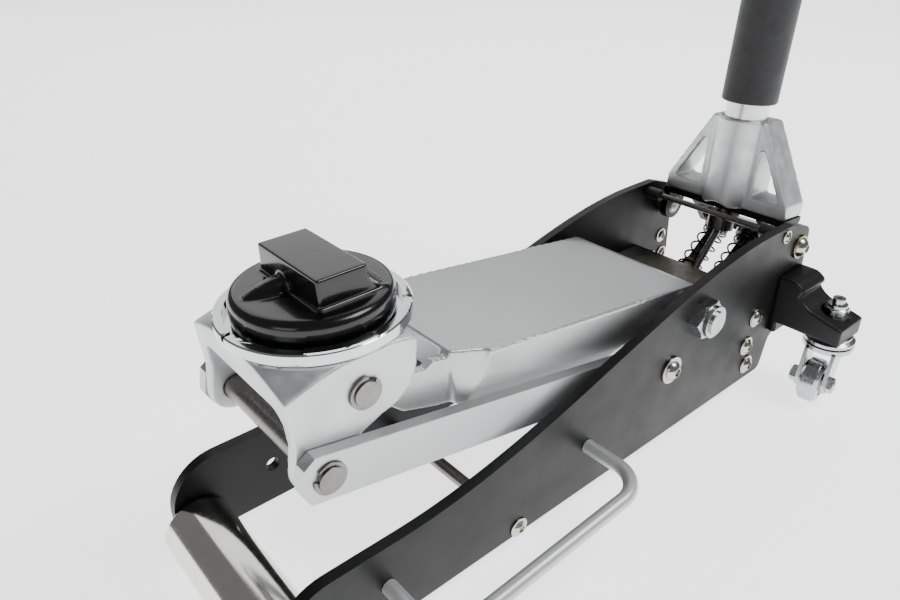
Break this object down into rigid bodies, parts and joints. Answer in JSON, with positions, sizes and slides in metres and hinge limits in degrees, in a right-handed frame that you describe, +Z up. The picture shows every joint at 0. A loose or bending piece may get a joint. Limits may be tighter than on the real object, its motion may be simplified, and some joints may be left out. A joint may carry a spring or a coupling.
{
  "type": "hydraulic floor jack",
  "caption": "Low-profile aluminium trolley jack: parallel-link lifting arm, swivelling saddle with rubber pad, hydraulic pump, upright handle, front roller and swivel casters.",
  "frame": {"origin": "on the ground, at the middle of the whole jack's plan outline", "axes": "+X from the front roller to the rear casters, +Y to the side without the carry handle, +Z up"},
  "size_m": [0.6036, 0.2714, 1.0489],
  "materials": {
    "charcoal_paint": "satin",
    "black_casting": "satin",
    "silver_paint": "satin metallic",
    "silver_painted_steel": "satin metallic",
    "cast_bracket": "satin cast",
    "polished_zinc": "polished",
    "chrome": "bright",
    "dark_steel": "dull",
    "bronze": "dull",
    "black_oxide_steel": "dark satin",
    "spring_wire": "dark satin",
    "nickel": "bright nickel",
    "zinc": "zinc plated",
    "satin_aluminium": "satin anodised",
    "brushed_tube": "brushed",
    "pump_casting": "oiled",
    "black_urethane": "glossy",
    "foam": "matt foam",
    "grip_rubber": "matt",
    "black_plastic": "matt"
  },
  "bodies": {
    "frame": {"near_side_plate": "charcoal_paint", "far_side_plate": "charcoal_paint", "front_axle": "dark_steel", "axle_screws": "nickel", "tie_rod": "dark_steel", "tie_rod_screws": "nickel", "stop_bar": "dark_steel", "stop_bar_sleeves": "black_plastic", "stop_bar_screws": "nickel", "carry_handle": "satin_aluminium", "carry_handle_screws": "nickel", "arm_pivot_bolt": "zinc", "arm_pivot_nut": "zinc", "arm_spacers": "dark_steel", "link_bolts": "nickel", "link_washers": "nickel", "link_nuts": "nickel", "link_spacers": "bronze", "pump_housing": "pump_casting", "housing_screws": "nickel", "filler_plug": "black_plastic", "relief_valve_cap": "bronze", "ram_gland": "nickel", "plunger_guides": "bronze", "socket_bolts": "nickel", "socket_spacers": "bronze", "caster_brackets": "black_casting", "caster_bracket_bolts": "nickel", "caster_studs": "zinc", "near_plunger_spring": "spring_wire", "far_plunger_spring": "spring_wire"},
    "front_roller": {"front_roller": "polished_zinc"},
    "lift_arm": {"lift_arm": "silver_paint", "arm_bushes": "bronze", "crank_pin": "dark_steel"},
    "parallel_links": {"near_link": "silver_painted_steel", "far_link": "silver_painted_steel"},
    "saddle_bracket": {"saddle_bracket": "cast_bracket", "bracket_upper_pin": "dark_steel", "bracket_lower_pin": "dark_steel", "pin_clips": "dark_steel"},
    "saddle": {"saddle": "chrome", "saddle_clip": "dark_steel"},
    "jack_pad": {"jack_pad": "black_urethane"},
    "lift_ram": {"lift_ram": "nickel"},
    "pump_plungers": {"pump_plungers": "black_oxide_steel"},
    "release_valve": {"release_spindle": "dark_steel"},
    "handle_socket": {"handle_socket": "cast_bracket", "pump_lever": "black_casting", "socket_screws": "nickel", "pump_roller": "nickel"},
    "handle": {"lower_handle_tube": "brushed_tube", "foam_sleeve": "foam", "upper_handle_tube": "brushed_tube", "handle_grip": "grip_rubber", "release_drive": "dark_steel"},
    "near_caster": {"near_caster_fork": "zinc"},
    "far_caster": {"far_caster_fork": "zinc"},
    "near_wheel": {"near_caster_wheel": "zinc"},
    "far_wheel": {"far_caster_wheel": "zinc"}
  },
  "joints": [
    {"name": "front_roller_spin", "type": "hinge", "parent": "frame", "child": "front_roller", "pos_m": [-0.27928, 0, 0.0225], "axis": [0, 1, 0], "continuous": true},
    {"name": "arm_lift", "type": "hinge", "parent": "frame", "child": "lift_arm", "pos_m": [0.07012, 0, 0.107], "axis": [0, 1, 0], "range_deg": [-16.5, 38.5]},
    {"name": "link_swing", "type": "hinge", "parent": "frame", "child": "parallel_links", "pos_m": [0.04012, 0, 0.0725], "axis": [0, 1, 0], "range_deg": [-16.5, 38.5]},
    {"name": "bracket_level", "type": "hinge", "parent": "lift_arm", "child": "saddle_bracket", "pos_m": [-0.21328, 0, 0.16363], "axis": [0, 1, 0], "range_deg": [-38.5, 16.5]},
    {"name": "saddle_swivel", "type": "hinge", "parent": "saddle_bracket", "child": "saddle", "pos_m": [-0.20858, 0, 0.186], "axis": [0, 0, 1], "continuous": true},
    {"name": "pad_lift_out", "type": "slide", "parent": "saddle", "child": "jack_pad", "axis": [0, 0, 1], "range_m": [0, 0.03]},
    {"name": "ram_stroke", "type": "slide", "parent": "frame", "child": "lift_ram", "axis": [-1, 0, 0], "range_m": [-0.011, 0.0258]},
    {"name": "handle_pump", "type": "hinge", "parent": "frame", "child": "handle_socket", "pos_m": [0.20812, 0, 0.1203], "axis": [0, 1, 0], "range_deg": [-5, 70]},
    {"name": "handle_twist", "type": "hinge", "parent": "handle_socket", "child": "handle", "pos_m": [0.20812, 0, 0.1203], "axis": [0.0785, 0, 0.9969], "range_deg": [-30, 30]},
    {"name": "release_turn", "type": "hinge", "parent": "frame", "child": "release_valve", "pos_m": [0.20812, 0, 0.1203], "axis": [0.6782, 0, 0.7349], "range_deg": [-30, 30]},
    {"name": "plunger_stroke", "type": "slide", "parent": "frame", "child": "pump_plungers", "axis": [-0.809, 0, -0.5878], "range_m": [-0.0023, 0.0314], "deforming": ["near_plunger_spring", "far_plunger_spring"]},
    {"name": "near_caster_swivel", "type": "hinge", "parent": "frame", "child": "near_caster", "pos_m": [0.20572, -0.115, 0.0497], "axis": [0, 0, 1], "continuous": true},
    {"name": "near_wheel_spin", "type": "hinge", "parent": "near_caster", "child": "near_wheel", "pos_m": [0.18789, -0.1175, 0.019], "axis": [-0.1392, 0.9903, 0], "continuous": true},
    {"name": "far_caster_swivel", "type": "hinge", "parent": "frame", "child": "far_caster", "pos_m": [0.20572, 0.115, 0.0497], "axis": [0, 0, 1], "continuous": true},
    {"name": "far_wheel_spin", "type": "hinge", "parent": "far_caster", "child": "far_wheel", "pos_m": [0.18789, 0.1175, 0.019], "axis": [0.1392, 0.9903, 0], "continuous": true}
  ],
  "couplings": [
    {"joint": "link_swing", "follows": "arm_lift", "ratio": 1},
    {"joint": "bracket_level", "follows": "arm_lift", "ratio": -1},
    {"joint": "ram_stroke", "follows": "arm_lift", "m_per_rad": 0.038},
    {"joint": "plunger_stroke", "follows": "handle_pump", "m_per_rad": 0.0255},
    {"joint": "release_turn", "follows": "handle_twist", "ratio": 1}
  ]
}
